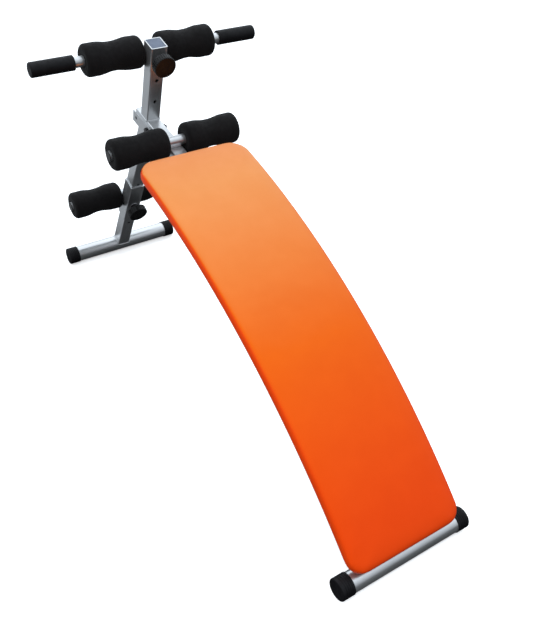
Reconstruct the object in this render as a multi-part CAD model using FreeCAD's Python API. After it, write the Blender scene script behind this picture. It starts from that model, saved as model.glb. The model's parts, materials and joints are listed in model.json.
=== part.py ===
import FreeCAD, Part
import math
import os

# Decline sit-up bench: an arched padded board on a curved steel spine, a low
# foot bar at one end, and at the other end a folding leg and a short upright
# post. A pull-knob slider runs on the post and another on the leg, and three
# cross tubes carry six foam rollers.
#
# Millimetres. +X is the bench's right, +Y runs from the low end of the board
# to the high end, +Z is up. The origin is on the floor, midway between the
# two foot bars, on the centre plane.

# ---- feet
FOOT_SPACING = 1500.0
FOOT_TUBE_R = 25.0
FOOT_WALL = 2.0
FOOT_CAP_R = 27.0
FOOT_CAP_LENGTH = 33.0
FOOT_CAP_END = 3.0
FOOT_CAP_FLAT = 0.6        # depth of the flat worn on the underside of a cap
FOOT_CAP_GROOVES = 4
LOW_FOOT_LENGTH = 374.0
HIGH_FOOT_LENGTH = 388.0

# ---- arc shared by the board and the spine
ARC_RADIUS = 1982.0        # to the top of the board
ARC_CENTRE_Y = 610.0
ARC_CENTRE_Z = -1340.0
ARC_LOW_ANGLE = 44.2       # angles from the vertical, towards -Y
ARC_HEAD_ANGLE = 11.4

# ---- board
BOARD_WIDTH = 306.0
BOARD_THICKNESS = 40.0
BASE_THICKNESS = 12.0
COVER_WRAP = 3.0           # cover and foam over the edge of the plywood
BOARD_CORNER_R = 45.0

# ---- square tube
TUBE = 40.0
TUBE_WALL = 2.5
TUBE_CORNER_R = 3.5        # outside corner of rolled square tube

# ---- spine, post and leg
SPINE_END = 276.0          # length of the straight part beyond the arc
SPINE_STUB = 22.0          # straight run from the low end of the board to the foot bar
POST_AT = 228.0            # where the post stands on the straight part
POST_TILT = 15.0
POST_LENGTH = 229.0
POST_HOLES = (63.0, 130.0, 197.0)   # heights up the post
LEG_TILT = 27.4
LEG_HOLES = (146.0, 199.0, 252.0, 306.0, 360.0, 430.0)   # heights up the leg
LOCATING_HOLE_R = 5.0

# ---- folding bracket at the top of the leg
PIVOT_AT = 197.0           # along the straight part of the spine
PIVOT_DEPTH = 22.0         # below the top of the spine
LOCK_AT = 268.0
LOCK_DEPTH = 26.0
LOCK_HOLE_R = 5.0
BRACKET_END = 288.0
BRACKET_PLATE = 3.0
BRACKET_FLOOR = 4.0
BRACKET_TOP_DEPTH = 10.0
BRACKET_GAP = 0.3
BRACKET_FLOOR_START = 215.0
PIVOT_R = 5.0
PIVOT_CLEARANCE = 0.06
PIVOT_HEAD_R = 9.0

# ---- sliders
SLEEVE_WALL = 3.0
SLEEVE_GAP = 0.3
UPPER_SLEEVE_BOTTOM = 163.0
UPPER_SLEEVE_TOP = 231.0
UPPER_KNOB_AT = POST_HOLES[2]
LOWER_SLEEVE_BOTTOM = 176.0
LOWER_SLEEVE_TOP = 350.0
LOWER_KNOB_AT = LEG_HOLES[2]
ROLLER_DROP = 9.0          # cross tube below the knob, measured along the tube

# ---- pull knobs
PIN_R = 4.0
PIN_CLEARANCE = 0.05
PIN_TIP_GAP = 0.4
BARREL_R = 10.0
BARREL_END = 41.0          # measured from the centre line of the tube
KNOB_START = 41.6
KNOB_THICKNESS = 20.4
KNOB_R = 30.0
KNOB_FLUTES = 30
KNOB_FLUTE_R = 1.7
KNOB_BORE_DEPTH = 15.0

# ---- cross tubes, foam rollers and grips
CROSS_TUBE_R = 14.0
CROSS_TUBE_WALL = 2.0
FOAM_LENGTH = 160.0
FOAM_R = 42.0
FOAM_WAIST_R = 37.0
FOAM_EDGE_R = 12.0
FOAM_SHOULDER = 34.0
FOAM_BORE_GAP = 0.3
SLIDER_FOAM_START = 24.5
MID_FOAM_START = 27.0
MID_TUBE_AT = 85.0         # along the straight part of the spine
CROSS_TUBE_OVERHANG = 4.0  # of the plain cross tubes beyond the foam
HANDLE_LENGTH = 648.0
GRIP_R = 19.3
GRIP_LENGTH = 114.0
GRIP_END = 4.0

# ---- small parts
PLUG_FLANGE = 2.0
PLUG_DEPTH = 18.0
PLUG_WALL = 2.0
SADDLE_PLATE = 3.0
SADDLE_LENGTH = 40.0
SADDLE_SPAN = 150.0
SADDLE_ANGLES = {"low": 38.0, "mid": 27.0, "high": 16.0}
BOLT_R = 4.0
BOLT_HEAD_R = 7.0
BOLT_HEAD = 4.5
BOLT_X = 55.0
BOLT_SPREAD = 22.0

HALF_TUBE = TUBE / 2
SLEEVE_INNER = HALF_TUBE + SLEEVE_GAP
SLEEVE_OUTER = SLEEVE_INNER + SLEEVE_WALL
SPINE_RADIUS = ARC_RADIUS - BOARD_THICKNESS
FOOT_Z = FOOT_CAP_R - FOOT_CAP_FLAT
HALF_SPACING = FOOT_SPACING / 2


def vec(x, y, z):
    return FreeCAD.Vector(x, y, z)


def block(x0, x1, y0, y1, z0, z1):
    return Part.makeBox(x1 - x0, y1 - y0, z1 - z0, vec(x0, y0, z0))


def rod_x(radius, x0, x1, y=0.0, z=0.0):
    return Part.makeCylinder(radius, x1 - x0, vec(x0, y, z), vec(1, 0, 0))


def rod_front(radius, start, end, z=0.0):
    """Rod pointing out of a tube's front face, from start to end off the centre line."""
    return Part.makeCylinder(radius, end - start, vec(0, -start, z), vec(0, -1, 0))


def rod_up(radius, z0, z1, x=0.0, y=0.0):
    return Part.makeCylinder(radius, z1 - z0, vec(x, y, z0), vec(0, 0, 1))


def rounded_square(half, corner_r):
    """Face of a square with rounded corners, lying in the XY plane."""
    flat = half - corner_r
    middle = flat + corner_r * math.sqrt(0.5)
    side = Part.makeLine(vec(half, -flat, 0), vec(half, flat, 0))
    corner = Part.Arc(vec(half, flat, 0), vec(middle, middle, 0), vec(flat, half, 0)).toShape()
    edges = []
    for quarter in range(4):
        for edge in (side, corner):
            turned = edge.copy()
            turned.rotate(vec(0, 0, 0), vec(0, 0, 1), 90 * quarter)
            edges.append(turned)
    return Part.Face(Part.Wire(edges))


def rounded_bar(half, z0, z1, corner_r):
    """Upright square bar with its four long edges rounded."""
    section = rounded_square(half, corner_r)
    section.translate(vec(0, 0, z0))
    return section.extrude(vec(0, 0, z1 - z0))


def pipe_x(outer, wall, half_length, y=0.0, z=0.0):
    bore = rod_x(outer - wall, -half_length, half_length, y, z)
    return rod_x(outer, -half_length, half_length, y, z).cut(bore)


def leaned(shape, tilt, y, z):
    """Lean an upright shape towards -Y by tilt degrees and stand it at (y, z)."""
    moved = shape.copy()
    moved.rotate(vec(0, 0, 0), vec(1, 0, 0), tilt)
    moved.translate(vec(0, y, z))
    return moved


def mirrored(shape):
    return shape.mirror(vec(0, 0, 0), vec(1, 0, 0))


def save(shape, node):
    shape.exportStep(os.path.join("parts", node + ".step"))


# ---------------------------------------------------------------- frames of reference
def arc_point(radius, angle):
    a = math.radians(angle)
    return vec(0, ARC_CENTRE_Y - radius * math.sin(a), ARC_CENTRE_Z + radius * math.cos(a))


SPINE_START = arc_point(SPINE_RADIUS, ARC_HEAD_ANGLE)


def on_spine(shape):
    """Place a shape made with Y along the straight part and Z=0 on its top face."""
    return leaned(shape, ARC_HEAD_ANGLE, SPINE_START.y, SPINE_START.z)


def on_arc(shape, radius, angle):
    """Place a shape made with Z=0 on the arc of this radius, at this angle."""
    point = arc_point(radius, angle)
    return leaned(shape, angle, point.y, point.z)


def on_post(shape):
    a = math.radians(ARC_HEAD_ANGLE)
    foot_y = SPINE_START.y + POST_AT * math.cos(a)
    foot_z = SPINE_START.z + POST_AT * math.sin(a)
    return leaned(shape, POST_TILT, foot_y, foot_z)


def on_leg(shape):
    return leaned(shape, LEG_TILT, HALF_SPACING, FOOT_Z)


# ---------------------------------------------------------------- feet
def foot_tube(length, y):
    return pipe_x(FOOT_TUBE_R, FOOT_WALL, length / 2 - FOOT_CAP_END, y, FOOT_Z)


def foot_cap(length, y):
    """Ribbed rubber cup on the +X end of a foot bar, flat where it meets the floor."""
    end = length / 2
    start = end - FOOT_CAP_LENGTH
    cap = rod_x(FOOT_CAP_R, start, end)
    cap = cap.makeFillet(FOOT_CAP_END, [e for e in cap.Edges if is_rim(e, end)])
    cap = cap.cut(rod_x(FOOT_TUBE_R, start, end - FOOT_CAP_END))
    pitch = FOOT_CAP_LENGTH / (FOOT_CAP_GROOVES + 2)
    for i in range(FOOT_CAP_GROOVES):
        x = start + pitch * (i + 1)
        ring = rod_x(FOOT_CAP_R + 1, x, x + 2).cut(rod_x(FOOT_CAP_R - 1, x, x + 2))
        cap = cap.cut(ring)
    cap = cap.cut(block(start, end, -40, 40, -60, -FOOT_Z))
    cap.translate(vec(0, y, FOOT_Z))
    return cap


def is_rim(edge, x):
    """True for a circular edge lying wholly in the plane at this X."""
    box = edge.BoundBox
    return abs(box.XMin - x) < 0.01 and abs(box.XMax - x) < 0.01


def make_feet():
    for name, length, y in (("low", LOW_FOOT_LENGTH, -HALF_SPACING),
                            ("high", HIGH_FOOT_LENGTH, HALF_SPACING)):
        cap = foot_cap(length, y)
        save(foot_tube(length, y), name + "_foot_tube")
        save(cap, name + "_foot_cap_right")
        save(mirrored(cap), name + "_foot_cap_left")


# ---------------------------------------------------------------- board
def arc_band(inner, outer, low_angle, head_angle, half_width):
    """Solid between two radii and two angles of the bench's arc."""
    middle = (low_angle + head_angle) / 2
    a, b, c = [arc_point(outer, t) for t in (low_angle, middle, head_angle)]
    d, e, f = [arc_point(inner, t) for t in (head_angle, middle, low_angle)]
    edges = [Part.Arc(a, b, c).toShape(), Part.makeLine(c, d),
             Part.Arc(d, e, f).toShape(), Part.makeLine(f, a)]
    band = Part.Face(Part.Wire(edges)).extrude(vec(2 * half_width, 0, 0))
    band.translate(vec(-half_width, 0, 0))
    return band


def is_plan_corner(edge, thickness):
    """True for the four straight edges through the thickness of a slab."""
    box = edge.BoundBox
    return box.XMax - box.XMin < 0.01 and abs(edge.Length - thickness) < 0.01


def board_slab(inner, outer, inset):
    """Slab of the board with rounded corners, its outline pulled in by inset."""
    swing = math.degrees(inset / ARC_RADIUS)
    low = ARC_LOW_ANGLE - swing
    head = ARC_HEAD_ANGLE + swing
    slab = arc_band(inner, outer, low, head, BOARD_WIDTH / 2 - inset)
    corners = [e for e in slab.Edges if is_plan_corner(e, outer - inner)]
    return slab.makeFillet(BOARD_CORNER_R - inset, corners)


def saddle():
    """Hat-section strap under the spine, with flanges up against the plywood."""
    half = SADDLE_LENGTH / 2
    drop = TUBE + 0.4
    outer = HALF_TUBE + SADDLE_PLATE
    strap = block(-outer, outer, -half, half, -drop - SADDLE_PLATE, 0)
    strap = strap.cut(block(-HALF_TUBE, HALF_TUBE, -half, half, -drop, 0))
    for side in (-1, 1):
        x0, x1 = sorted((side * HALF_TUBE, side * SADDLE_SPAN / 2))
        strap = strap.fuse(block(x0, x1, -half, half, -SADDLE_PLATE, 0))
    return strap.removeSplitter()


def saddle_bolts():
    """Four bolts up through the flanges of one saddle into the plywood."""
    bolts = []
    for x in (-BOLT_X, BOLT_X):
        for y in (-BOLT_SPREAD / 2, BOLT_SPREAD / 2):
            shank = rod_up(BOLT_R, -SADDLE_PLATE, BASE_THICKNESS - 2, x, y)
            head = rod_up(BOLT_HEAD_R, -SADDLE_PLATE - BOLT_HEAD, -SADDLE_PLATE, x, y)
            bolts.append(shank.fuse(head))
    return bolts


def make_board():
    base = board_slab(SPINE_RADIUS, SPINE_RADIUS + BASE_THICKNESS, COVER_WRAP)
    pad = board_slab(SPINE_RADIUS, ARC_RADIUS, 0.0).cut(base)
    all_bolts = []
    for name, angle in SADDLE_ANGLES.items():
        radius = SPINE_RADIUS - 0.2
        bolts = [on_arc(bolt, radius, angle) for bolt in saddle_bolts()]
        strap = on_arc(saddle(), radius, angle)
        for bolt in bolts:
            strap = strap.cut(bolt)
            base = base.cut(bolt)
        all_bolts += bolts
        save(strap, "board_saddle_" + name)
    save(base, "board_base")
    save(pad, "board_pad")
    save(Part.makeCompound(all_bolts), "board_bolts")


# ---------------------------------------------------------------- spine
def uphill(slope, length):
    """Step of this length up a slope in degrees, towards +Y."""
    a = math.radians(slope)
    return vec(0, length * math.cos(a), length * math.sin(a))


def spine_body(section, overrun):
    """Spine of one cross-section: straight at the head, arched, straight at the foot bar."""
    turn = ARC_LOW_ANGLE - ARC_HEAD_ANGLE
    centre = vec(0, ARC_CENTRE_Y, ARC_CENTRE_Z)
    upright = section.copy()
    upright.rotate(vec(0, 0, 0), vec(1, 0, 0), 90)
    upright.translate(vec(0, 0, -HALF_TUBE))
    head = on_spine(upright)
    low = head.copy()
    low.rotate(centre, vec(1, 0, 0), turn)
    straight = head.extrude(uphill(ARC_HEAD_ANGLE, SPINE_END + overrun))
    curved = head.revolve(centre, vec(1, 0, 0), turn)
    stub = low.extrude(uphill(ARC_LOW_ANGLE, -SPINE_STUB - overrun))
    return curved.fuse([straight, stub])


def make_spine():
    bore = HALF_TUBE - TUBE_WALL
    outer_section = rounded_square(HALF_TUBE, TUBE_CORNER_R)
    bore_section = Part.makePlane(2 * bore, 2 * bore, vec(-bore, -bore, 0))
    spine = spine_body(outer_section, 0).cut(spine_body(bore_section, 1))
    spine = spine.cut(rod_x(FOOT_TUBE_R, -60, 60, -HALF_SPACING, FOOT_Z))
    spine = spine.cut(on_spine(rod_x(PIVOT_R, -60, 60, PIVOT_AT, -PIVOT_DEPTH)))
    spine = spine.cut(on_spine(lock_bore()))
    save(spine, "main_beam")

    plug = square_plug()
    plug.rotate(vec(0, 0, 0), vec(1, 0, 0), -90)
    plug.translate(vec(0, SPINE_END, -HALF_TUBE))
    save(on_spine(plug.cut(lock_bore())), "beam_end_plug")


def lock_bore():
    """Cutter for the locking pin's hole through the bracket, the spine and its plug."""
    return rod_x(LOCK_HOLE_R, -60, 60, LOCK_AT, -LOCK_DEPTH)


def square_plug():
    """Push-in end plug for square tube, its flange standing on Z=0."""
    half = HALF_TUBE - 0.2
    fit = HALF_TUBE - TUBE_WALL
    hollow = fit - PLUG_WALL
    plug = rounded_bar(half, 0, PLUG_FLANGE, TUBE_CORNER_R)
    plug = plug.makeFillet(1.2, [e for e in plug.Edges if e.BoundBox.ZMin > PLUG_FLANGE - 0.01])
    skirt = block(-fit, fit, -fit, fit, -PLUG_DEPTH, 0)
    skirt = skirt.cut(block(-hollow, hollow, -hollow, hollow, -PLUG_DEPTH, 0))
    return plug.fuse(skirt)


# ---------------------------------------------------------------- post and leg
def square_tube(z0, z1, half=HALF_TUBE, wall=TUBE_WALL):
    inner = half - wall
    bore = block(-inner, inner, -inner, inner, z0, z1)
    return rounded_bar(half, z0, z1, TUBE_CORNER_R).cut(bore)


def drilled(tube, heights):
    """Drill the row of locating holes through the front wall."""
    for z in heights:
        tube = tube.cut(rod_front(LOCATING_HOLE_R, 0, TUBE, z))
    return tube


def make_post():
    post = square_tube(-20, POST_LENGTH)
    post = on_post(drilled(post, POST_HOLES))
    post = post.cut(on_spine(block(-60, 60, 0, 400, -200, 0)))
    save(post, "upright_post")

    plug = square_plug()
    plug.translate(vec(0, 0, POST_LENGTH))
    save(on_post(plug), "post_top_plug")


def make_leg():
    floor_depth = TUBE + 0.2 + BRACKET_FLOOR
    leg = square_tube(0, 700)
    leg = on_leg(drilled(leg, LEG_HOLES))
    leg = leg.cut(rod_x(FOOT_TUBE_R, -60, 60, HALF_SPACING, FOOT_Z))
    leg = leg.cut(on_spine(block(-60, 60, -200, 600, -floor_depth, 400)))
    save(leg, "leg_tube")


# ---------------------------------------------------------------- folding bracket
def cheek(side):
    """Side plate of the bracket, rounded about the pivot."""
    inner = HALF_TUBE + BRACKET_GAP
    x0, x1 = sorted((side * inner, side * (inner + BRACKET_PLATE)))
    bottom = -(TUBE + 0.2 + BRACKET_FLOOR)
    round_r = PIVOT_DEPTH - BRACKET_TOP_DEPTH
    plate = block(x0, x1, PIVOT_AT, BRACKET_END, bottom, -BRACKET_TOP_DEPTH)
    plate = plate.fuse(rod_x(round_r, x0, x1, PIVOT_AT, -PIVOT_DEPTH))
    lower = block(x0, x1, PIVOT_AT - round_r, PIVOT_AT, bottom + round_r, -PIVOT_DEPTH)
    plate = plate.fuse(lower)
    plate = plate.fuse(rod_x(round_r, x0, x1, PIVOT_AT, bottom + round_r))
    plate = plate.cut(rod_x(PIVOT_R + PIVOT_CLEARANCE, -60, 60, PIVOT_AT, -PIVOT_DEPTH))
    return plate.cut(lock_bore()).removeSplitter()


def make_bracket():
    outer = HALF_TUBE + BRACKET_GAP + BRACKET_PLATE
    top = -(TUBE + 0.2)
    floor = block(-outer, outer, BRACKET_FLOOR_START, BRACKET_END, top - BRACKET_FLOOR, top)
    bracket = floor.fuse(cheek(-1)).fuse(cheek(1)).removeSplitter()
    save(on_spine(bracket), "leg_bracket")


def make_pivot():
    """Bolt through the spine with its head and nut outside the bracket."""
    face = HALF_TUBE + BRACKET_GAP + BRACKET_PLATE + 0.2
    bolt = rod_x(PIVOT_R, -face - 7, face + 12, PIVOT_AT, -PIVOT_DEPTH)
    head = hexagon(PIVOT_HEAD_R, -face - 7, -face)
    nut = hexagon(PIVOT_HEAD_R, face, face + 8)
    head.translate(vec(0, PIVOT_AT, -PIVOT_DEPTH))
    nut.translate(vec(0, PIVOT_AT, -PIVOT_DEPTH))
    save(on_spine(bolt.fuse(head)), "pivot_bolt")
    save(on_spine(nut.cut(bolt)), "pivot_nut")


def hexagon(radius, x0, x1):
    corners = []
    for i in range(7):
        a = math.radians(60 * i)
        corners.append(vec(x0, radius * math.cos(a), radius * math.sin(a)))
    return Part.Face(Part.makePolygon(corners)).extrude(vec(x1 - x0, 0, 0))


# ---------------------------------------------------------------- sliders
def sleeve(bottom, top, knob_at):
    shell = square_tube(bottom, top, SLEEVE_OUTER, SLEEVE_WALL)
    return shell.cut(rod_front(PIN_R + PIN_CLEARANCE, 0, TUBE, knob_at))


def pin_barrel(knob_at):
    """Boss on the sleeve that guides the pin."""
    barrel = rod_front(BARREL_R, SLEEVE_OUTER, BARREL_END, knob_at)
    return barrel.cut(rod_front(PIN_R + PIN_CLEARANCE, 0, TUBE + 20, knob_at))


def pull_pin(knob_at):
    start = HALF_TUBE + PIN_TIP_GAP
    return rod_front(PIN_R, start, KNOB_START + KNOB_BORE_DEPTH - 0.3, knob_at)


def pull_knob(knob_at):
    """Fluted round knob, free to turn on the end of the pin."""
    end = KNOB_START + KNOB_THICKNESS
    knob = rod_front(KNOB_R, KNOB_START, end)
    knob = knob.makeFillet(2.0, [e for e in knob.Edges if is_knob_rim(e)])
    for i in range(KNOB_FLUTES):
        a = 2 * math.pi * i / KNOB_FLUTES
        flute = rod_front(KNOB_FLUTE_R, KNOB_START - 1, end + 1)
        flute.translate(vec(KNOB_R * math.cos(a), 0, KNOB_R * math.sin(a)))
        knob = knob.cut(flute)
    knob = knob.cut(rod_front(KNOB_R - 7, end - 0.8, end + 1))
    knob = knob.cut(rod_front(PIN_R + PIN_CLEARANCE, KNOB_START - 1,
                              KNOB_START + KNOB_BORE_DEPTH))
    knob.translate(vec(0, 0, knob_at))
    return knob


def is_knob_rim(edge):
    """True for the full circles at the two faces of the knob, not its seam."""
    box = edge.BoundBox
    return box.YMax - box.YMin < 0.01


def make_slider(prefix, place, bottom, top, knob_at):
    save(place(sleeve(bottom, top, knob_at)), prefix + "_sleeve")
    save(place(pin_barrel(knob_at)), prefix + "_pin_barrel")
    save(place(pull_pin(knob_at)), prefix + "_pin")
    save(place(pull_knob(knob_at)), prefix + "_knob")


# ---------------------------------------------------------------- cross tubes and rollers
def foam_roller(start):
    """Foam sleeve on the +X side, thicker at both ends than at its waist."""
    end = start + FOAM_LENGTH
    bore = CROSS_TUBE_R + FOAM_BORE_GAP
    edge = FOAM_EDGE_R
    soft = edge * (1 - math.sqrt(0.5))
    shoulder = FOAM_SHOULDER
    a = vec(start, bore, 0)
    b = vec(start, FOAM_R - edge, 0)
    b_mid = vec(start + soft, FOAM_R - soft, 0)
    c = vec(start + edge, FOAM_R, 0)
    d = vec(start + shoulder, FOAM_R, 0)
    d_mid = vec((start + end) / 2, FOAM_WAIST_R, 0)
    e = vec(end - shoulder, FOAM_R, 0)
    f = vec(end - edge, FOAM_R, 0)
    f_mid = vec(end - soft, FOAM_R - soft, 0)
    g = vec(end, FOAM_R - edge, 0)
    h = vec(end, bore, 0)
    edges = [Part.makeLine(a, b), Part.Arc(b, b_mid, c).toShape(), Part.makeLine(c, d),
             Part.Arc(d, d_mid, e).toShape(), Part.makeLine(e, f),
             Part.Arc(f, f_mid, g).toShape(), Part.makeLine(g, h), Part.makeLine(h, a)]
    return Part.Face(Part.Wire(edges)).revolve(vec(0, 0, 0), vec(1, 0, 0), 360)


def round_plug(half_length):
    """Push-in plug at the +X end of a plain cross tube."""
    fit = CROSS_TUBE_R - CROSS_TUBE_WALL
    plug = rod_x(CROSS_TUBE_R - 0.2, half_length, half_length + PLUG_FLANGE)
    return plug.fuse(rod_x(fit, half_length - PLUG_DEPTH, half_length))


def grip():
    """Closed rubber grip pulled over the +X end of the handle tube."""
    end = HANDLE_LENGTH / 2
    start = end - GRIP_LENGTH
    body = rod_x(GRIP_R, start, end)
    body = body.makeFillet(4.0, [e for e in body.Edges if is_rim(e, end)])
    return body.cut(rod_x(CROSS_TUBE_R, start, end - GRIP_END))


def in_pairs(shape, node, place):
    """Save a +X shape and its mirror image as node_right and node_left."""
    save(place(shape), node + "_right")
    save(place(mirrored(shape)), node + "_left")


def make_plain_roller(prefix, start, place):
    """Plain cross tube with its two plugs and two foam rollers, axis on the origin."""
    half = start + FOAM_LENGTH + CROSS_TUBE_OVERHANG
    plug = round_plug(half)
    save(place(pipe_x(CROSS_TUBE_R, CROSS_TUBE_WALL, half)), prefix + "_roller_tube")
    save(place(Part.makeCompound([plug, mirrored(plug)])), prefix + "_tube_plugs")
    in_pairs(foam_roller(start), prefix + "_foam", place)


def make_handle(place):
    half = HANDLE_LENGTH / 2 - GRIP_END
    save(place(pipe_x(CROSS_TUBE_R, CROSS_TUBE_WALL, half)), "handle_tube")
    in_pairs(foam_roller(SLIDER_FOAM_START), "upper_foam", place)
    in_pairs(grip(), "grip", place)


def behind(place, knob_at):
    """Placement of a cross tube welded to the back of a slider's sleeve."""
    def placed(shape):
        moved = shape.copy()
        moved.translate(vec(0, SLEEVE_OUTER + CROSS_TUBE_R, knob_at - ROLLER_DROP))
        return place(moved)
    return placed


def on_beam_top(shape):
    """Placement of the cross tube welded on top of the spine."""
    moved = shape.copy()
    moved.translate(vec(0, MID_TUBE_AT, CROSS_TUBE_R))
    return on_spine(moved)


os.makedirs("parts", exist_ok=True)
make_feet()
make_board()
make_spine()
make_post()
make_leg()
make_bracket()
make_pivot()
make_slider("upper", on_post, UPPER_SLEEVE_BOTTOM, UPPER_SLEEVE_TOP, UPPER_KNOB_AT)
make_slider("lower", on_leg, LOWER_SLEEVE_BOTTOM, LOWER_SLEEVE_TOP, LOWER_KNOB_AT)
make_handle(behind(on_post, UPPER_KNOB_AT))
make_plain_roller("lower", SLIDER_FOAM_START, behind(on_leg, LOWER_KNOB_AT))
make_plain_roller("mid", MID_FOAM_START, on_beam_top)
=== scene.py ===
import json
import math
import random
from types import SimpleNamespace

import bpy
import numpy as np
from mathutils import Matrix, Vector, noise


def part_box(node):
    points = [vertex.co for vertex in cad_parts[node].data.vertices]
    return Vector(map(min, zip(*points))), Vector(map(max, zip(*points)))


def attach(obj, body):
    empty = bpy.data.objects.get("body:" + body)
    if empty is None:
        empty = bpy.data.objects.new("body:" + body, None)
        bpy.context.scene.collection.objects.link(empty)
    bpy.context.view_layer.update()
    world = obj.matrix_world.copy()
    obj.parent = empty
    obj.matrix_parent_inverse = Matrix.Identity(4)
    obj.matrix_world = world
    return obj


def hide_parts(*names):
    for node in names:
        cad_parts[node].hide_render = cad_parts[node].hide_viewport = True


# The looks of the decline sit-up bench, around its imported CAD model. Metres and degrees,
# in the axes of the CAD: +X the bench's right, +Y towards the handle bar, +Z up.

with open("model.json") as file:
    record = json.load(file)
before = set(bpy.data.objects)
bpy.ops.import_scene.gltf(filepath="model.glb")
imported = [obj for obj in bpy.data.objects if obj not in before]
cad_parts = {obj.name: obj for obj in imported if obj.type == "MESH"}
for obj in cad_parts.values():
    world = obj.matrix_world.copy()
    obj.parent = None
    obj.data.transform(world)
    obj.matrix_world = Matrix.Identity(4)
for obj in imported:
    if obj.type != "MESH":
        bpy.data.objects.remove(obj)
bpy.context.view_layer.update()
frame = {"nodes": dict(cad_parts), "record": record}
nodes = frame["nodes"]

# ---- leans of the straight members, about X towards -Y
SPINE_LEAN = 11.4
POST_LEAN = 15.0
LEG_LEAN = 27.4

# ---- arc of the board
ARC_CENTRE = (0.610, -1.340)   # y and z
ARC_RADIUS = 1.982             # to the top of the board

# ---- board cover
CORNER_R = 0.045
LOW_CORNER_R = 0.034       # tighter round the two low corners
LEAST_CORNER_R = 0.006     # left on an outline however far it is pulled in
TOP_EDGE_R = 0.008
BOTTOM_EDGE_R = 0.004
PLYWOOD = 0.012
BLANK_INSET = 0.001        # how much smaller the cover starts, all round
VOXEL = 0.006              # size of the even mesh that the cloth runs on
HELD_HEIGHT = PLYWOOD + 0.002   # up from the underside: the cloth is pinned below this
PUFF = 0.0015              # how far the pressure may swell the cover
PUFF_FRAMES = 20
SIDE_BULGE = 0.0055        # foam standing out beyond the plywood, above half-way up
HEAD_BULGE = 0.009
LOW_END_BULGE = 0.011
SIDE_BULGE_DEPTH = 0.03    # how far in from a side or an end its bulge dies out
END_BULGE_DEPTH = 0.05
CROWN = 0.0006             # fall of the top from its middle line to its sides
DIMPLES = ((9, 0.3, 0.0006), (33, 4.7, 0.00018))   # scale, slice of the noise and depth
DIMPLE_FADE = 0.03         # they reach full depth this far in from the edge
GATHERS_PER_TURN = 26
GATHER_DEPTH = 0.00055
GATHER_TOP = 0.014         # the gathers start this far below the top
GATHER_REACH = 0.008       # and run this far in from the edge
UNDERSIDE_BAND = 0.003     # points this near the underside belong to it
RECESS = 0.004             # how far the underside is sunk into the plywood
RECESS_RIM = 0.012         # beyond this far in from the edge

# ---- vinyl turned under the plywood, and its staples
FOLD_WIDTH = 0.023
FOLD_THICKNESS = 0.0013
FOLD_INSET = 0.0028        # outer edge of the strip from the board's outline
FOLD_STEP = 0.008
FOLD_WANDER = 0.0016       # unevenness of its hand-cut inner edge
PLEAT_DEPTH = 0.0006
PLEATS_PER_TURN = 30
CORNER_DRAW = 0.35         # how much narrower the strip is at a corner
STAPLE_INSET = 0.016
STAPLE_PITCH = 0.042
STAPLE_LENGTH = 0.010
STAPLE_WIRE = 0.0005       # radius
STAPLE_BEND = 0.0006
STAPLE_DEPTH = 0.004
STAPLE_TURN = 0.2          # how far one may be turned from true, in radians
STAPLES_CLEAR = 0.032      # none nearer than this to the board's middle line

# ---- foam rollers
FOAM_WAIST = 37.0 / 42.0   # waist over full radius
FOAM_EDGE_R = 0.012
FOAM_BORE_R = 0.0145
FOAM_TURNS = 96
FOAM_UNEVENNESS = 0.0005
FOAM_WAIST_END = 0.06      # where the waist begins to swell, as a share of half the length
FOAM_SWELL = 0.62          # and the share over which it reaches full radius

# ---- weld beads
WELD_R = 0.0024
BARREL_WELD_R = 0.0014
BARREL_WELD_OFF = 0.0006   # how far the ring's middle stands off the pin barrel
WELD_STEP = 0.0008
WELD_RIPPLE = 0.0032
WELD_SIDES = 8
CROSS_TUBE_R = 0.014
WELD_OFF_TUBE = 0.0008     # how far a bead's middle stands off the tube it follows
TUBE_WELD_ANGLE = 38       # from where a cross tube touches a face to its two beads
TUBE_CORNER = 0.003        # cut off the corners of a bead round a square tube
ON_BEAM = 0.0165           # half length of a cross tube's beads on the beam and on a sleeve
ON_SLEEVE = 0.0195
BEAM_ON_FOOT = (128.0, 11.0)   # where the beam meets the low foot tube, from +Z towards +Y

# ---- stage
BRIGHT_TOWARDS = (0.30, 0.50, 0.81)   # brightest part of the room
ROOM_FACING = (-0.45, 0.95)           # cosines to it at which the room is dimmest and brightest
ROOM_STRENGTH = (0.22, 1.85)
FLOOR_HALF = 14.0
FLOOR_REFLECTED = 0.045               # how pale the floor is in reflections
CARD_REFLECTED = 0.35
CARD_SIDE = -0.06                     # x and y where the reflected pale card begins
CARD_END = 0.78
CARD_FADE = 0.06

# Set so that the bench stands in the render as it does in the photo.
CAMERA = SimpleNamespace(
    place=(-0.88024, -1.43097, 1.52100),
    yaw=35.103,
    pitch=38.064,
    roll=2.873,
    lens=44.11,
)


# ---------------------------------------------------------------- shader nodes
def spread(tree, value, start, end, low, high):
    """Value, spread from start..end to low..high."""
    node = tree.nodes.new("ShaderNodeMapRange")
    for socket, number in (("From Min", start), ("From Max", end), ("To Min", low), ("To Max", high)):
        node.inputs[socket].default_value = number
    tree.links.new(value, node.inputs["Value"])
    return node.outputs["Result"]


def product(tree, first, second):
    node = tree.nodes.new("ShaderNodeMath")
    node.operation = "MULTIPLY"
    tree.links.new(first, node.inputs[0])
    tree.links.new(second, node.inputs[1])
    return node.outputs["Value"]


def component(tree, vector, axis):
    node = tree.nodes.new("ShaderNodeSeparateXYZ")
    tree.links.new(vector, node.inputs["Vector"])
    return node.outputs[axis]


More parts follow.
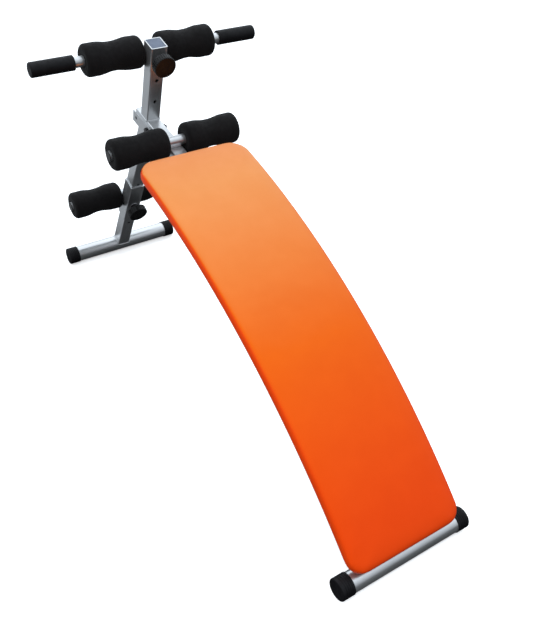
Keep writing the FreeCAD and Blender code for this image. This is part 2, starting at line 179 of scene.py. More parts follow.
# ---------------------------------------------------------------- materials
class Finish:
    """A material being built: one Principled shader and short ways to feed it."""

    def __init__(self, name, constants):
        self.material = bpy.data.materials.new(name)
        self.material.use_nodes = True
        self.tree = self.material.node_tree
        self.tree.nodes.clear()
        self.shader = self.add("ShaderNodeBsdfPrincipled")
        output = self.add("ShaderNodeOutputMaterial")
        self.link(self.shader.outputs["BSDF"], output.inputs["Surface"])
        self.place = self.add("ShaderNodeTexCoord").outputs["Object"]
        self.normal = None
        for socket, value in constants.items():
            self.shader.inputs[socket].default_value = value

    def add(self, kind):
        return self.tree.nodes.new(kind)

    def link(self, source, target):
        self.tree.links.new(source, target)

    def feed(self, socket, source):
        self.link(source, self.shader.inputs[socket])

    def along(self, axis, low, high):
        """0 to 1 by position, from low to high metres along an axis."""
        return self.between(component(self.tree, self.place, axis), 0.0, 1.0, low, high)

    def facing_up(self, low, high):
        """0 to 1 as the surface turns from upright to level."""
        normal = self.add("ShaderNodeNewGeometry").outputs["Normal"]
        return self.between(component(self.tree, normal, "Z"), 0.0, 1.0, low, high)

    def stretched(self, stretch):
        mapping = self.add("ShaderNodeMapping")
        mapping.inputs["Scale"].default_value = stretch
        self.link(self.place, mapping.inputs["Vector"])
        return mapping.outputs["Vector"]

    def noise(self, scale, detail=3.0, stretch=(1, 1, 1)):
        texture = self.add("ShaderNodeTexNoise")
        texture.inputs["Scale"].default_value = scale
        texture.inputs["Detail"].default_value = detail
        self.link(self.stretched(stretch), texture.inputs["Vector"])
        return texture.outputs["Fac"]

    def cells(self, scale, feature="F1"):
        texture = self.add("ShaderNodeTexVoronoi")
        texture.feature = feature
        texture.inputs["Scale"].default_value = scale
        self.link(self.place, texture.inputs["Vector"])
        return texture.outputs["Distance"]

    def between(self, value, low, high, start=0.3, end=0.7):
        """Value, spread from start..end to low..high."""
        return spread(self.tree, value, start, end, low, high)

    def ramp(self, value, *stops):
        """Colour by value, from stops of (position, (r, g, b))."""
        ramp = self.add("ShaderNodeValToRGB")
        elements = ramp.color_ramp.elements
        while len(elements) < len(stops):
            elements.new(1.0)
        for element, (position, colour) in zip(elements, stops):
            element.position = position
            element.color = (*colour, 1.0)
        self.link(value, ramp.inputs["Fac"])
        return ramp.outputs["Color"]

    def mixed(self, factor, first, second, mode="MIX"):
        mix = self.add("ShaderNodeMix")
        mix.data_type = "RGBA"
        mix.blend_type = mode
        self.link(factor, mix.inputs["Factor"])
        self.link(first, mix.inputs["A"])
        self.link(second, mix.inputs["B"])
        return mix.outputs["Result"]

    def bump(self, height, depth, strength=1.0):
        """One more layer of relief, depth metres deep at full height."""
        layer = self.add("ShaderNodeBump")
        layer.inputs["Strength"].default_value = strength
        layer.inputs["Distance"].default_value = depth
        self.link(height, layer.inputs["Height"])
        if self.normal is not None:
            self.link(self.normal, layer.inputs["Normal"])
        self.normal = layer.outputs["Normal"]
        self.feed("Normal", self.normal)


def silver_paint():
    """Bright silver finish on steel: fine flakes, orange peel and faint scuffs."""
    look = Finish("silver_paint", {"Metallic": 0.90, "Coat Weight": 0.20, "Coat Roughness": 0.10})
    tone = look.ramp(look.noise(7.0), (0.35, (0.56, 0.57, 0.58)), (0.68, (0.65, 0.66, 0.67)))
    flakes = look.ramp(look.cells(2600.0), (0.2, (0.94, 0.94, 0.94)), (0.7, (1.0, 1.0, 1.0)))
    patches = look.between(look.noise(300.0), 0.3, 0.9)
    look.feed("Base Color", look.mixed(patches, tone, flakes, "MULTIPLY"))
    look.feed("Roughness", look.between(look.noise(38.0, 5.0), 0.29, 0.36))
    look.bump(look.noise(420.0, 2.0), 0.00002, 0.08)
    look.bump(look.noise(34.0, 4.0, (1, 1, 6)), 0.00010, 0.12)
    return look.material


def orange_vinyl():
    """Upholstery vinyl: fine leather grain, soft gloss, mottled, with painted glare that makes its upward
    faces paler towards the head.
    """
    look = Finish("orange_vinyl", {
        "Specular IOR Level": 0.28,
        "Specular Tint": (1.0, 0.60, 0.16, 1.0),
        "Sheen Weight": 0.01,
        "Sheen Roughness": 0.5,
        "Sheen Tint": (1.0, 0.60, 0.35, 1.0),
    })
    # Painted glare: on faces turned up, the base colour pales from the low end to the head, standing in
    # for the light and reflected glare that fall there; only the deepest orange stop is the vinyl's own
    # colour.
    painted_glare = product(look.tree, look.along("Y", -0.72, 0.28), look.facing_up(0.55, 0.95))
    tone = look.ramp(
        painted_glare,
        (0.00, (0.735, 0.051, 0.003)),
        (0.28, (0.695, 0.100, 0.004)),
        (0.50, (0.675, 0.164, 0.031)),
        (0.81, (0.670, 0.243, 0.075)),
        (1.00, (0.685, 0.238, 0.092)),
    )
    mottle = look.ramp(look.noise(17.0, 5.0), (0.38, (0.97, 0.93, 0.86)), (0.70, (1.0, 1.0, 1.0)))
    patches = look.between(look.noise(5.0), 0.6, 1.0)
    look.feed("Base Color", look.mixed(patches, tone, mottle, "MULTIPLY"))
    look.feed("Roughness", look.between(look.noise(60.0, 4.0), 0.42, 0.50))
    look.bump(look.cells(820.0, "DISTANCE_TO_EDGE"), 0.00010, 0.35)
    look.bump(look.noise(1500.0, 3.0), 0.00005, 0.30)
    return look.material


def plywood():
    """Birch plywood: grain along the board with darker streaks and pores."""
    look = Finish("plywood", {"Specular IOR Level": 0.3})
    grain = look.noise(9.0, 6.0, (9.0, 0.7, 0.7))
    tone = look.ramp(
        grain,
        (0.30, (0.36, 0.22, 0.11)),
        (0.52, (0.54, 0.37, 0.21)),
        (0.70, (0.62, 0.45, 0.27)),
    )
    fine = look.noise(160.0, 2.0, (4.0, 0.25, 0.25))
    pores = look.ramp(fine, (0.30, (0.66, 0.56, 0.44)), (0.42, (1.0, 1.0, 1.0)))
    patches = look.between(look.noise(3.0), 0.6, 1.0)
    look.feed("Base Color", look.mixed(patches, tone, pores, "MULTIPLY"))
    look.feed("Roughness", look.between(grain, 0.62, 0.80))
    look.bump(fine, 0.00018, 0.5)
    return look.material


def black_foam():
    """Closed-cell foam: matte black skin broken by fine cells."""
    look = Finish("black_foam", {
        "Specular IOR Level": 0.13,
        "Sheen Weight": 0.03,
        "Sheen Roughness": 0.6,
    })
    tone = look.ramp(
        look.noise(24.0, 5.0),
        (0.32, (0.0028, 0.0023, 0.0025)),
        (0.70, (0.0056, 0.0048, 0.0051)),
    )
    look.feed("Base Color", tone)
    look.feed("Roughness", look.between(look.noise(90.0), 0.72, 0.90))
    look.bump(look.cells(620.0, "SMOOTH_F1"), 0.00030, 0.55)
    look.bump(look.noise(1300.0, 4.0), 0.00018, 0.55)
    look.bump(look.noise(45.0, 3.0), 0.00060, 0.30)
    return look.material


def black_rubber():
    """Moulded rubber: dark grey-black, slightly dusty, satin."""
    look = Finish("black_rubber", {"Specular IOR Level": 0.17})
    tone = look.ramp(
        look.noise(30.0, 5.0),
        (0.35, (0.0034, 0.0033, 0.0040)),
        (0.72, (0.0068, 0.0066, 0.0078)),
    )
    look.feed("Base Color", tone)
    look.feed("Roughness", look.between(look.noise(110.0, 4.0), 0.48, 0.66))
    look.bump(look.noise(900.0, 3.0), 0.00006, 0.5)
    look.bump(look.noise(60.0, 3.0), 0.00020, 0.3)
    return look.material


def black_plastic():
    """Injection-moulded plastic with a fine spark-eroded texture."""
    look = Finish("black_plastic", {"Specular IOR Level": 0.22})
    tone = look.ramp(look.noise(40.0), (0.35, (0.0025, 0.0023, 0.0025)), (0.70, (0.0050, 0.0046, 0.0048)))
    look.feed("Base Color", tone)
    look.feed("Roughness", look.between(look.noise(140.0, 4.0), 0.25, 0.33))
    look.bump(look.cells(1500.0), 0.00004, 0.5)
    return look.material


def grey_plastic():
    """Blue-grey moulded end plugs."""
    look = Finish("grey_plastic", {"Specular IOR Level": 0.4})
    tone = look.ramp(look.noise(45.0), (0.35, (0.080, 0.102, 0.150)), (0.70, (0.105, 0.130, 0.185)))
    look.feed("Base Color", tone)
    look.feed("Roughness", look.between(look.noise(140.0, 4.0), 0.34, 0.48))
    look.bump(look.cells(1400.0), 0.00004, 0.5)
    return look.material


def black_steel():
    """Blackened fasteners and pins: oily dark film, worn a little greyer in patches."""
    look = Finish("black_steel", {"Metallic": 0.85})
    tone = look.ramp(look.noise(90.0, 4.0), (0.35, (0.014, 0.014, 0.016)), (0.72, (0.034, 0.033, 0.034)))
    look.feed("Base Color", tone)
    look.feed("Roughness", look.between(look.noise(220.0, 4.0), 0.28, 0.46))
    look.bump(look.noise(700.0, 2.0), 0.00004, 0.4)
    return look.material


finishes = {make.__name__: make() for make in (
    silver_paint,
    orange_vinyl,
    plywood,
    black_foam,
    black_rubber,
    black_plastic,
    grey_plastic,
    black_steel,
)}


def dress_cad_nodes():
    for part in frame["record"]["subparts"]:
        for slot in nodes[part["node"]].material_slots:
            slot.material = finishes[part["material_slot"]]


# ---------------------------------------------------------------- mesh helpers
def mesh_piece(name, points, faces, finish):
    mesh = bpy.data.meshes.new(name)
    mesh.from_pydata([tuple(p) for p in points], [], faces)
    mesh.update()
    mesh.polygons.foreach_set("use_smooth", [True] * len(mesh.polygons))
    mesh.materials.append(finishes[finish])
    piece = bpy.data.objects.new(name, mesh)
    bpy.context.scene.collection.objects.link(piece)
    return piece


def ring_faces(rows, columns, closed):
    """Quads between neighbouring rings, each ring closed on itself."""
    faces = []
    for i in range(rows if closed else rows - 1):
        here, there = i * columns, (i + 1) % rows * columns
        for j in range(columns):
            k = (j + 1) % columns
            faces.append((here + j, here + k, there + k, there + j))
    return faces


def tube_faces(rings, sides, closed=False):
    """Faces of a tube laid through rings, with its two ends capped unless it is closed."""
    faces = ring_faces(rings, sides, closed)
    if not closed:
        total = rings * sides
        faces.append(tuple(reversed(range(sides))))
        faces.append(tuple(range(total - sides, total)))
    return faces


def smoothstep(share):
    return share * share * (3 - 2 * share)


def joined(*parts):
    """Several (points, faces) as one."""
    points, faces = [], []
    for more_points, more_faces in parts:
        start = len(points)
        points.extend(more_points)
        faces.extend(tuple(start + i for i in face) for face in more_faces)
    return points, faces


def coordinates(mesh):
    flat = np.empty(len(mesh.vertices) * 3)
    mesh.vertices.foreach_get("co", flat)
    return flat.reshape(-1, 3)


def put_coordinates(mesh, points):
    mesh.vertices.foreach_set("co", points.ravel())
    mesh.update()


def applied(piece):
    """Apply the piece's modifiers to its mesh."""
    graph = bpy.context.evaluated_depsgraph_get()
    mesh = bpy.data.meshes.new_from_object(piece.evaluated_get(graph))
    piece.modifiers.clear()
    piece.data = mesh


def leaned(lean):
    """Turn that takes axes along a leaning member into the bench's own."""
    return Matrix.Rotation(math.radians(lean), 3, "X")


def leaned_points(node, lean):
    """Points of a CAD node, in axes along a member with that lean."""
    return coordinates(nodes[node].data) @ np.array(leaned(lean))


def finish_piece(piece, body, slot_name, *stands_for):
    """Give the piece its body and hide the CAD nodes that it stands for, if any. The slot name is not
    used.
    """
    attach(piece, body)
    if stands_for:
        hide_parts(*stands_for)


# ---------------------------------------------------------------- the board's arc
def board_arc():
    """Centre, top radius, thickness, head angle, length and half width of the board."""
    co = coordinates(nodes["board_pad"].data)
    centre = np.array(ARC_CENTRE)
    angles = np.arctan2(centre[0] - co[:, 1], co[:, 2] - centre[1])
    return SimpleNamespace(
        centre=centre,
        radius=ARC_RADIUS,
        thickness=ARC_RADIUS - np.linalg.norm(co[:, 1:] - centre, axis=1).min(),
        head=angles.min(),
        length=(angles.max() - angles.min()) * ARC_RADIUS,
        half_width=np.abs(co[:, 0]).max(),
    )


arc = board_arc()


def bent(points):
    """Bend points (x, along, height) of the flat board over its arc.

    Along is 0 at the head and falls towards the low end, and height is 0 at the top."""
    points = np.asarray(points, float)
    angle = arc.head - points[:, 1] / arc.radius
    reach = arc.radius + points[:, 2]
    return np.c_[
        points[:, 0],
        arc.centre[0] - reach * np.sin(angle),
        arc.centre[1] + reach * np.cos(angle),
    ]


def outline(inset, corner_steps=10):
    """Rounded outline of the flat board, pulled in by inset, as (x, along, outward angle)."""
    points = []
    for quarter, (sx, sy) in enumerate(((1, 1), (-1, 1), (-1, -1), (1, -1))):
        corner = max((CORNER_R if sy > 0 else LOW_CORNER_R) - inset, LEAST_CORNER_R)
        x = arc.half_width - inset - corner
        y = arc.length / 2 - inset - corner
        for i in range(corner_steps + 1):
            angle = math.pi / 2 * (quarter + i / corner_steps)
            points.append((
                sx * x + corner * math.cos(angle),
                sy * y + corner * math.sin(angle) - arc.length / 2,
                angle,
            ))
    return points


def resampled_outline(corners, step):
    """Points of an outline with its long straight sides divided into steps."""
    made = []
    for i, (x0, y0, angle) in enumerate(corners):
        x1, y1, _ = corners[(i + 1) % len(corners)]
        count = max(1, round(math.hypot(x1 - x0, y1 - y0) / step))
        for k in range(count):
            t = k / count
            made.append((x0 + (x1 - x0) * t, y0 + (y1 - y0) * t, angle))
    return made


def from_edge(points):
    """Distance of flat points inside the outline, with all four corners taken as CORNER_R."""
    x = np.abs(points[:, 0]) - (arc.half_width - CORNER_R)
    y = np.abs(points[:, 1] + arc.length / 2) - (arc.length / 2 - CORNER_R)
    outside = np.hypot(np.maximum(x, 0), np.maximum(y, 0))
    return CORNER_R - outside - np.minimum(np.maximum(x, y), 0)


# ---------------------------------------------------------------- board cover
def cover_blank():
    """Closed flat slab a little smaller than the cover, with rolled edges."""
    profile = []   # inset and height, from the underside up
    for i in range(5):
        angle = math.pi / 2 * i / 4
        height = -arc.thickness + BOTTOM_EDGE_R * (1 - math.cos(angle))
        profile.append((BOTTOM_EDGE_R * (1 - math.sin(angle)), height))
    for i in range(9):
        angle = math.pi / 2 * i / 8
        height = TOP_EDGE_R * math.sin(angle) - TOP_EDGE_R - PUFF
        profile.append((TOP_EDGE_R * (1 - math.cos(angle)), height))
    rings = []
    for inset, height in profile:
        rings += [(x, y, height) for x, y, _ in outline(inset + BLANK_INSET)]
    faces = tube_faces(len(profile), len(rings) // len(profile))
    return mesh_piece("board_cover", rings, faces, "orange_vinyl")


def puffed(piece, held):
    """Swell the piece as a cloth under pressure, with the held points fixed."""
    start = coordinates(piece.data)
    group = piece.vertex_groups.new(name="held")
    group.add([int(i) for i in np.flatnonzero(held)], 1.0, "REPLACE")
    cloth = piece.modifiers.new("puff", "CLOTH")
    cloth.settings.quality = 5
    cloth.settings.mass = 0.4
    cloth.settings.tension_stiffness = 25
    cloth.settings.compression_stiffness = 25
    cloth.settings.bending_stiffness = 3
    cloth.settings.use_pressure = True
    cloth.settings.uniform_pressure_force = 4
    cloth.settings.vertex_group_mass = "held"
    cloth.settings.effector_weights.gravity = 0
    cloth.collision_settings.use_collision = False
    for step in range(1, PUFF_FRAMES + 1):
        bpy.context.scene.frame_set(step)
    applied(piece)
    bpy.context.scene.frame_set(1)
    piece.vertex_groups.clear()
    moved = coordinates(piece.data) - start
    length = np.linalg.norm(moved, axis=1)
    share = np.minimum(1.0, PUFF / np.maximum(length, 1e-9))
    put_coordinates(piece.data, start + moved * share[:, None])


def relaxed(mesh, rounds):
    """Even out small steps by moving each point towards the mean of its neighbours."""
    edges = np.empty(len(mesh.edges) * 2, int)
    mesh.edges.foreach_get("vertices", edges)
    a, b = edges.reshape(-1, 2).T
    co = coordinates(mesh)
    count = np.bincount(np.r_[a, b], minlength=len(co))[:, None]
    for _ in range(rounds):
        total = np.zeros_like(co)
        np.add.at(total, a, co[b])
        np.add.at(total, b, co[a])
        co += 0.5 * (total / count - co)
    put_coordinates(mesh, co)


def filled_out(points):
    """Scale the flat cover to the pad's own width, thickness and length."""
    low, high = points.min(0), points.max(0)
    wanted_low = np.array([-arc.half_width, -arc.length, -arc.thickness])
    wanted_high = np.array([arc.half_width, 0.0, 0.0])
    return wanted_low + (points - low) * (wanted_high - wanted_low) / (high - low)


def bulged(points):
    """Push the sides and ends of the flat cover out, above half-way up."""
    swell = smoothstep(np.clip(2 * (points[:, 2] / arc.thickness + 1), 0, 1))
    side = np.clip(1 - (arc.half_width - np.abs(points[:, 0])) / SIDE_BULGE_DEPTH, 0, 1)
    head = np.clip(1 + points[:, 1] / END_BULGE_DEPTH, 0, 1)
    low = np.clip(1 - (points[:, 1] + arc.length) / END_BULGE_DEPTH, 0, 1)
    points[:, 0] += SIDE_BULGE * swell * side * np.sign(points[:, 0])
    points[:, 1] += swell * (HEAD_BULGE * head - LOW_END_BULGE * low)
    return points


def hand_shaped(points):
    """Crown the flat cover, dimple it faintly and gather it under the corners."""
    inside = np.clip(from_edge(points), 0, None)
    top = np.clip((points[:, 2] + arc.thickness - PLYWOOD) / (arc.thickness - PLYWOOD), 0, 1)
    points[:, 2] -= CROWN * top * (np.abs(points[:, 0]) / arc.half_width) ** 2.5
    for i, (x, y, _) in enumerate(points):
        relief = sum(
            depth * noise.noise(Vector((x * scale, y * scale, layer)))
            for scale, layer, depth in DIMPLES
        )
        points[i, 2] += top[i] * min(inside[i] / DIMPLE_FADE, 1) * relief
    gather_corners(points, inside)
    return points


def gather_corners(points, inside):
    """Fine gathers round the four corners, deeper towards the underside."""
    x = np.abs(points[:, 0]) - (arc.half_width - CORNER_R)
    y = np.abs(points[:, 1] + arc.length / 2) - (arc.length / 2 - CORNER_R)
    round_part = (x > 0) & (y > 0) & (inside < GATHER_REACH)
    turn = np.arctan2(y, x)
    low = np.clip(-(points[:, 2] + GATHER_TOP) / (arc.thickness - GATHER_TOP), 0, 1)
    fade = np.sin(2 * np.clip(turn, 0, math.pi / 2))
    depth = GATHER_DEPTH * low * fade * np.sin(GATHERS_PER_TURN * turn) * round_part
    points[:, 0] += depth * np.cos(turn) * np.sign(points[:, 0])
    points[:, 1] += depth * np.sin(turn) * np.sign(points[:, 1] + arc.length / 2)


def fold_strip():
    """Vinyl turned under the plywood: a flat strip with a hand-cut inner edge."""
    section = (   # share of the way across from the outer edge, and height over the underside
        (0.0, 0.0010),
        (0.0, -0.0006),
        (0.12, -FOLD_THICKNESS),
        (1.0, -FOLD_THICKNESS),
        (1.0, 0.0002),
        (0.5, 0.0010),
    )
    stations = resampled_outline(outline(FOLD_INSET, corner_steps=24), FOLD_STEP)
    rings = []
    for x, y, angle in stations:
        cut = FOLD_WIDTH + FOLD_WANDER * noise.noise(Vector((x * 40, y * 40, 2.0)))
        corner = abs(math.sin(2 * angle))
        pleat = PLEAT_DEPTH * corner * math.sin(PLEATS_PER_TURN * angle)
        for across, height in section:
            inward = cut * across
            rings.append((
                x - inward * math.cos(angle) * (1 - CORNER_DRAW * corner * across),
                y - inward * math.sin(angle) * (1 - CORNER_DRAW * corner * across),
                height - arc.thickness - abs(pleat) * (height < 0),
            ))
    return rings, ring_faces(len(stations), len(section), closed=True)


def staples():
    """Staples through the turned-under vinyl, all the way round."""
    random.seed(7)
    stations = resampled_outline(outline(STAPLE_INSET, corner_steps=4), STAPLE_PITCH)
    parts = []
    for x, y, angle in stations:
        if abs(x) < STAPLES_CLEAR:
            continue
        along = angle + math.pi / 2 + random.uniform(-STAPLE_TURN, STAPLE_TURN)
        parts.append(one_staple(x, y, along))
    points, faces = joined(*parts)
    piece = mesh_piece("cover_staples", bent(points), faces, "silver_paint")
    finish_piece(piece, "frame", "silver_paint")


def one_staple(x, y, along):
    """Bent wire with its crown on the vinyl and its legs in the plywood, on the flat board."""
    deep = -arc.thickness + STAPLE_DEPTH
    proud = -arc.thickness - FOLD_THICKNESS - STAPLE_WIRE
    half = STAPLE_LENGTH / 2
    path = (
        (-half, deep),
        (-half, proud + STAPLE_BEND),
        (-half + STAPLE_BEND, proud),
        (half - STAPLE_BEND, proud),
        (half, proud + STAPLE_BEND),
        (half, deep),
    )
    sides = 8
    rings = []
    for i, (reach, height) in enumerate(path):
        before, after = path[max(i - 1, 0)], path[min(i + 1, len(path) - 1)]
        slope = math.atan2(after[1] - before[1], after[0] - before[0])
        for k in range(sides):
            angle = 2 * math.pi / sides * k
            side = STAPLE_WIRE * math.cos(angle)
            lift = STAPLE_WIRE * math.sin(angle)
            shift = reach - lift * math.sin(slope)
            rings.append((
                x + shift * math.cos(along) - side * math.sin(along),
                y + shift * math.sin(along) + side * math.cos(along),
                height + lift * math.cos(slope),
            ))
    return rings, tube_faces(len(path), sides)


def make_board_cover():
    """Foam pad under stretched vinyl, made flat and bent over the arc."""
    piece = cover_blank()
    remesh = piece.modifiers.new("even", "REMESH")
    remesh.mode = "VOXEL"
    remesh.voxel_size = VOXEL
    applied(piece)
    co = coordinates(piece.data)
    held = co[:, 2] < -arc.thickness + HELD_HEIGHT
    puffed(piece, held)
    relaxed(piece.data, rounds=4)
    smooth = piece.modifiers.new("smooth", "SUBSURF")
    smooth.levels = 1
    applied(piece)
    co = bulged(hand_shaped(filled_out(coordinates(piece.data))))
    under = (co[:, 2] < -arc.thickness + UNDERSIDE_BAND) & (from_edge(co) > RECESS_RIM)
    co[under, 2] += RECESS
    faces = [tuple(polygon.vertices) for polygon in piece.data.polygons]
    bpy.data.objects.remove(piece)
    points, faces = joined((co.tolist(), faces), fold_strip())
    cover = mesh_piece("board_cover", bent(points), faces, "orange_vinyl")
    finish_piece(cover, "frame", "orange_vinyl", "board_pad")


# ---------------------------------------------------------------- foam rollers
def turned_foam(profile, y, z):
    """Closed (x, radius) profile turned about the line (y, z) along X, a little uneven."""
    points = []
    for i in range(FOAM_TURNS):
        angle = 2 * math.pi * i / FOAM_TURNS
        for x, radius in profile:
            spot = Vector((x * 30, radius * math.cos(angle) * 30, radius * math.sin(angle) * 30))
            lump = FOAM_UNEVENNESS * (noise.noise(spot) + 0.4 * noise.noise(spot * 3.1))
            reach = radius + lump
            points.append((x, y + reach * math.cos(angle), z + reach * math.sin(angle)))
    return points, ring_faces(FOAM_TURNS, len(profile), closed=True)


def foam_profile(x0, x1, radius):
    """Closed section of a roller: its left end, the waisted outside, and its right end."""
    middle = (x0 + x1) / 2
    half = (x1 - x0) / 2
    waist = radius * FOAM_WAIST
    outer = []
    for i in range(33):
        u = -1 + 2 * i / 32
        share = min(max((abs(u) - FOAM_WAIST_END) / FOAM_SWELL, 0.0), 1.0)
        x = middle + u * (half - FOAM_EDGE_R)
        outer.append((x, waist + (radius - waist) * smoothstep(share)))
    face = [   # depth in from the roller's end, and radius, from the bore outwards
        (0.0022, FOAM_BORE_R),
        (0.0008, FOAM_BORE_R + 0.0004),
        (0.0004, FOAM_BORE_R + 0.0018),
        (0.0010, radius * 0.5),
        (0.0004, radius * 0.64),
    ]
    edge = []
    for i in range(7):
        angle = math.pi / 2 * i / 7
        edge.append((FOAM_EDGE_R * (1 - math.sin(angle)), radius - FOAM_EDGE_R * (1 - math.cos(angle))))
    inwards = edge + face[::-1]
    left = [(x0 + depth, r) for depth, r in inwards[::-1]]
    right = [(x1 - depth, r) for depth, r in inwards]
    return left + outer[1:-1] + right


def make_foam_rollers():
    for level in ("upper", "mid", "lower"):
        for side in ("left", "right"):
            node = f"{level}_foam_{side}"
            lo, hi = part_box(node)
            profile = foam_profile(lo.x, hi.x, (hi.z - lo.z) / 2)
            points, faces = turned_foam(profile, (lo.y + hi.y) / 2, (lo.z + hi.z) / 2)
            piece = mesh_piece(f"{level}_roller_foam_{side}", points, faces, "black_foam")
            finish_piece(piece, f"{level}_roller_{side}", "black_foam", node)


# ---------------------------------------------------------------- weld beads
def resampled(path, closed):
    """Even points along a path of straight runs."""
    ends = [Vector(p) for p in path]
    if closed:
        ends.append(ends[0])
    made = []
    for start, end in zip(ends, ends[1:]):
        count = max(1, round((end - start).length / WELD_STEP))
        made += [start.lerp(end, k / count) for k in range(count)]
    if not closed:
        made.append(ends[-1])
    return made


def bead(path, closed=True, radius=WELD_R):
    """Rippled weld bead along a path: a tube whose size pulses like laid puddles."""
    path = resampled(path, closed)
    count = len(path)
    rings = []
    for i, spot in enumerate(path):
        before = path[i - 1] if closed or i else spot
        after = path[(i + 1) % count] if closed or i < count - 1 else spot
        forward = (after - before).normalized()
        reference = Vector((1, 0, 0)) if abs(forward.z) > 0.9 else Vector((0, 0, 1))
        side = forward.cross(reference).normalized()
        up = side.cross(forward)
        phase = (i * WELD_STEP / WELD_RIPPLE) % 1.0
        size = radius * (0.86 + 0.2 * math.sin(math.pi * phase) + 0.12 * noise.noise(spot * 260))
        if not closed:
            size *= min(1.0, 0.45 + min(i, count - 1 - i) / 4)
        for k in range(WELD_SIDES):
            angle = 2 * math.pi / WELD_SIDES * k
            rings.append(spot + side * size * math.cos(angle) + up * size * math.sin(angle))
    return rings, tube_faces(count, WELD_SIDES, closed)


def weld(name, body, *beads):
    points, faces = joined(*beads)
    finish_piece(mesh_piece(name, points, faces, "silver_paint"), body, "silver_paint")


def end_loop(node, top):
    """Path round the top or bottom end of a square tube, with its corners cut.

    Both tubes that it serves are cut off parallel to the straight end of the spine."""
    co = leaned_points(node, SPINE_LEAN)
    z = co[:, 2].max() if top else co[:, 2].min()
    end = co[np.abs(co[:, 2] - z) < 1e-4]
    x, y0, y1 = end[:, 0].max(), end[:, 1].min(), end[:, 1].max()
    half = [
        (x - TUBE_CORNER, y0),
        (x, y0 + TUBE_CORNER),
        (x, y1 - TUBE_CORNER),
        (x - TUBE_CORNER, y1),
    ]
    corners = half + [(-x, y) for x, y in reversed(half)]
    return [leaned(SPINE_LEAN) @ Vector((x, y, z)) for x, y in corners]


def weld_post_base():
    weld("weld_post_base", "frame", bead(end_loop("upright_post", top=False)))


def weld_leg_top():
    weld("weld_leg_top", "rear_leg", bead(end_loop("leg_tube", top=True)))


def saddle_loop(node, half_width, first, last):
    """Path where a square tube stands on a round one, between two angles from +Z to +Y."""
    lo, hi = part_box(node)
    centre = Vector((0, (lo.y + hi.y) / 2, (lo.z + hi.z) / 2))
    radius = (hi.z - lo.z) / 2
    angles = [math.radians(first + (last - first) * i / 14) for i in range(15)]
    right = [centre + Vector((half_width, radius * math.sin(a), radius * math.cos(a))) for a in angles]
    left = [Vector((-p.x, p.y, p.z)) for p in reversed(right)]
    return right + left


def weld_feet():
    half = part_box("leg_tube")[1].x
    lo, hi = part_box("high_foot_tube")
    reach = math.degrees(math.asin(2 * half / (hi.z - lo.z)))
    leg = saddle_loop("high_foot_tube", half, -LEG_LEAN - reach, reach - LEG_LEAN)
    weld("weld_leg_foot", "rear_leg", bead(leg))
    beam = saddle_loop("low_foot_tube", half, *BEAM_ON_FOOT)
    weld("weld_beam_foot", "frame", bead(beam, closed=False))


def tube_beads(node, lean, towards, half_width):
    """Two short beads in the corners where a cross tube lies on a flat face.

    Towards is the angle from straight down to the face, in axes with that lean."""
    lo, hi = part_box(node)
    centre = Vector((0, (lo.y + hi.y) / 2, (lo.z + hi.z) / 2))
    beads = []
    for turn in (-TUBE_WELD_ANGLE, TUBE_WELD_ANGLE):
        angle = math.radians(towards + turn)
        outward = leaned(lean) @ Vector((0, -math.sin(angle), -math.cos(angle)))
        spot = centre + outward * (CROSS_TUBE_R + WELD_OFF_TUBE)
        ends = [spot + Vector((side * half_width, 0, 0)) for side in (-1, 1)]
        beads.append(bead(ends, closed=False))
    return beads


def weld_cross_tubes():
    weld("weld_mid_tube", "frame", *tube_beads("mid_roller_tube", SPINE_LEAN, 0, ON_BEAM))
    weld("weld_handle", "upper_slider", *tube_beads("handle_tube", POST_LEAN, 90, ON_SLEEVE))
    weld("weld_lower_tube", "lower_slider", *tube_beads("lower_roller_tube", LEG_LEAN, 90, ON_SLEEVE))


def weld_barrels():
    """Ring of weld where each pin barrel meets its sleeve."""
    for level, lean in (("upper", POST_LEAN), ("lower", LEG_LEAN)):
        co = leaned_points(f"{level}_pin_barrel", lean)
        y = co[:, 1].max()
        z = (co[:, 2].max() + co[:, 2].min()) / 2
        radius = co[:, 0].max() + BARREL_WELD_OFF
        loop = []
        for angle in np.linspace(0, 2 * math.pi, 24, endpoint=False):
            spot = Vector((radius * math.cos(angle), y, z + radius * math.sin(angle)))
            loop.append(leaned(lean) @ spot)
        weld(f"weld_{level}_barrel", f"{level}_slider", bead(loop, radius=BARREL_WELD_R))


# ---------------------------------------------------------------- stage
def by_view(tree, seen, reflected):
    """Shader that looks one way to the camera and another in reflections."""
    path = tree.nodes.new("ShaderNodeLightPath")
    mix = tree.nodes.new("ShaderNodeMixShader")
    tree.links.new(path.outputs["Is Camera Ray"], mix.inputs["Fac"])
    tree.links.new(reflected.outputs[0], mix.inputs[1])
    tree.links.new(seen.outputs[0], mix.inputs[2])
    return mix


def card_or_dark(tree):
    """Brightness of the reflected floor: dark, with a pale card behind the bench on its left."""
    place = tree.nodes.new("ShaderNodeTexCoord").outputs["Object"]
    beside = spread(tree, component(tree, place, "X"), CARD_SIDE, CARD_SIDE - CARD_FADE, 0.0, 1.0)
    behind = spread(tree, component(tree, place, "Y"), CARD_END, CARD_END + CARD_FADE, 0.0, 1.0)
    return spread(tree, product(tree, beside, behind), 0.0, 1.0, FLOOR_REFLECTED, CARD_REFLECTED)


def floor_material():
    """White to the camera but darker in reflections, as it would be past black flags."""
    material = bpy.data.materials.new("floor")
    material.use_nodes = True
    tree = material.node_tree
    pale = tree.nodes["Principled BSDF"]
    pale.inputs["Base Color"].default_value = (0.86, 0.86, 0.86, 1)
    pale.inputs["Roughness"].default_value = 0.9
    pale.inputs["Specular IOR Level"].default_value = 0.0
    pale.inputs["Emission Color"].default_value = (1, 1, 1, 1)
    pale.inputs["Emission Strength"].default_value = 0.45
    dim = tree.nodes.new("ShaderNodeBsdfDiffuse")
    tree.links.new(card_or_dark(tree), dim.inputs["Color"])
    mix = by_view(tree, pale, dim)
    tree.links.new(mix.outputs[0], tree.nodes["Material Output"].inputs["Surface"])
    return material


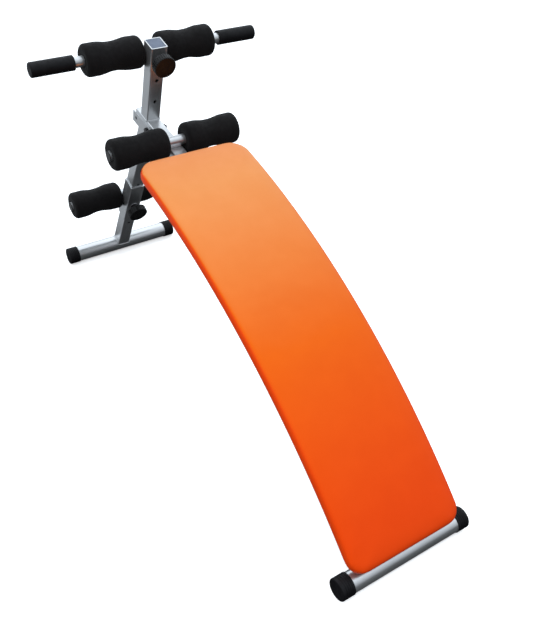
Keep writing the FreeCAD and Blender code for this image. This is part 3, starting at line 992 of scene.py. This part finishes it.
def floor():
    corners = [(FLOOR_HALF * x, FLOOR_HALF * y, 0.0) for x, y in ((-1, -1), (1, -1), (1, 1), (-1, 1))]
    mesh = bpy.data.meshes.new("floor")
    mesh.from_pydata(corners, [], [(0, 1, 2, 3)])
    mesh.materials.append(floor_material())
    piece = bpy.data.objects.new("floor", mesh)
    bpy.context.scene.collection.objects.link(piece)


def lamp(name, place, target, size, power):
    """Rectangular area lamp that stays out of reflections."""
    data = bpy.data.lights.new(name, "AREA")
    data.shape = "RECTANGLE"
    data.size, data.size_y = size
    data.energy = power
    made = bpy.data.objects.new(name, data)
    made.location = place
    made.rotation_euler = (Vector(target) - Vector(place)).to_track_quat("-Z", "Y").to_euler()
    made.visible_glossy = False
    bpy.context.scene.collection.objects.link(made)


def studio_world():
    """Soft room, brighter overhead and behind the bench than in front; white to the camera."""
    world = bpy.data.worlds.new("studio")
    world.use_nodes = True
    tree = world.node_tree
    facing = tree.nodes.new("ShaderNodeVectorMath")
    facing.operation = "DOT_PRODUCT"
    facing.inputs[1].default_value = BRIGHT_TOWARDS
    tree.links.new(tree.nodes.new("ShaderNodeTexCoord").outputs["Generated"], facing.inputs[0])
    glow = spread(tree, facing.outputs["Value"], *ROOM_FACING, *ROOM_STRENGTH)
    room = tree.nodes.new("ShaderNodeBackground")
    room.inputs["Color"].default_value = (0.86, 0.93, 1.0, 1)
    tree.links.new(glow, room.inputs["Strength"])
    white = tree.nodes["Background"]
    white.inputs["Color"].default_value = (1, 1, 1, 1)
    white.inputs["Strength"].default_value = 1.0
    mix = by_view(tree, white, room)
    tree.links.new(mix.outputs[0], tree.nodes["World Output"].inputs["Surface"])
    bpy.context.scene.world = world


def lights():
    studio_world()
    lamp("overhead", (-0.9, -1.6, 3.0), (0.0, -0.2, 0.3), (3.0, 2.6), 34)
    lamp("left", (-3.0, -0.6, 1.3), (0.0, 0.0, 0.4), (1.6, 1.6), 26)
    bpy.context.scene.view_settings.view_transform = "Standard"


def camera():
    """Camera at the photo's angle: yaw is from +Y towards +X, and roll lifts its right side."""
    yaw, pitch, roll = (math.radians(angle) for angle in (CAMERA.yaw, CAMERA.pitch, CAMERA.roll))
    ahead = Vector((math.sin(yaw) * math.cos(pitch), math.cos(yaw) * math.cos(pitch), -math.sin(pitch)))
    level = Vector((math.cos(yaw), -math.sin(yaw), 0))
    above = level.cross(ahead)
    right = math.cos(roll) * level + math.sin(roll) * above
    up = math.cos(roll) * above - math.sin(roll) * level
    data = bpy.data.cameras.new("camera")
    data.lens = CAMERA.lens
    made = bpy.data.objects.new("camera", data)
    turn = Matrix((right, up, -ahead)).transposed().to_4x4()
    made.matrix_world = Matrix.Translation(CAMERA.place) @ turn
    bpy.context.scene.collection.objects.link(made)
    bpy.context.scene.camera = made


camera()
lights()
floor()
dress_cad_nodes()
make_board_cover()
staples()
make_foam_rollers()
weld_post_base()
weld_leg_top()
weld_feet()
weld_cross_tubes()
weld_barrels()
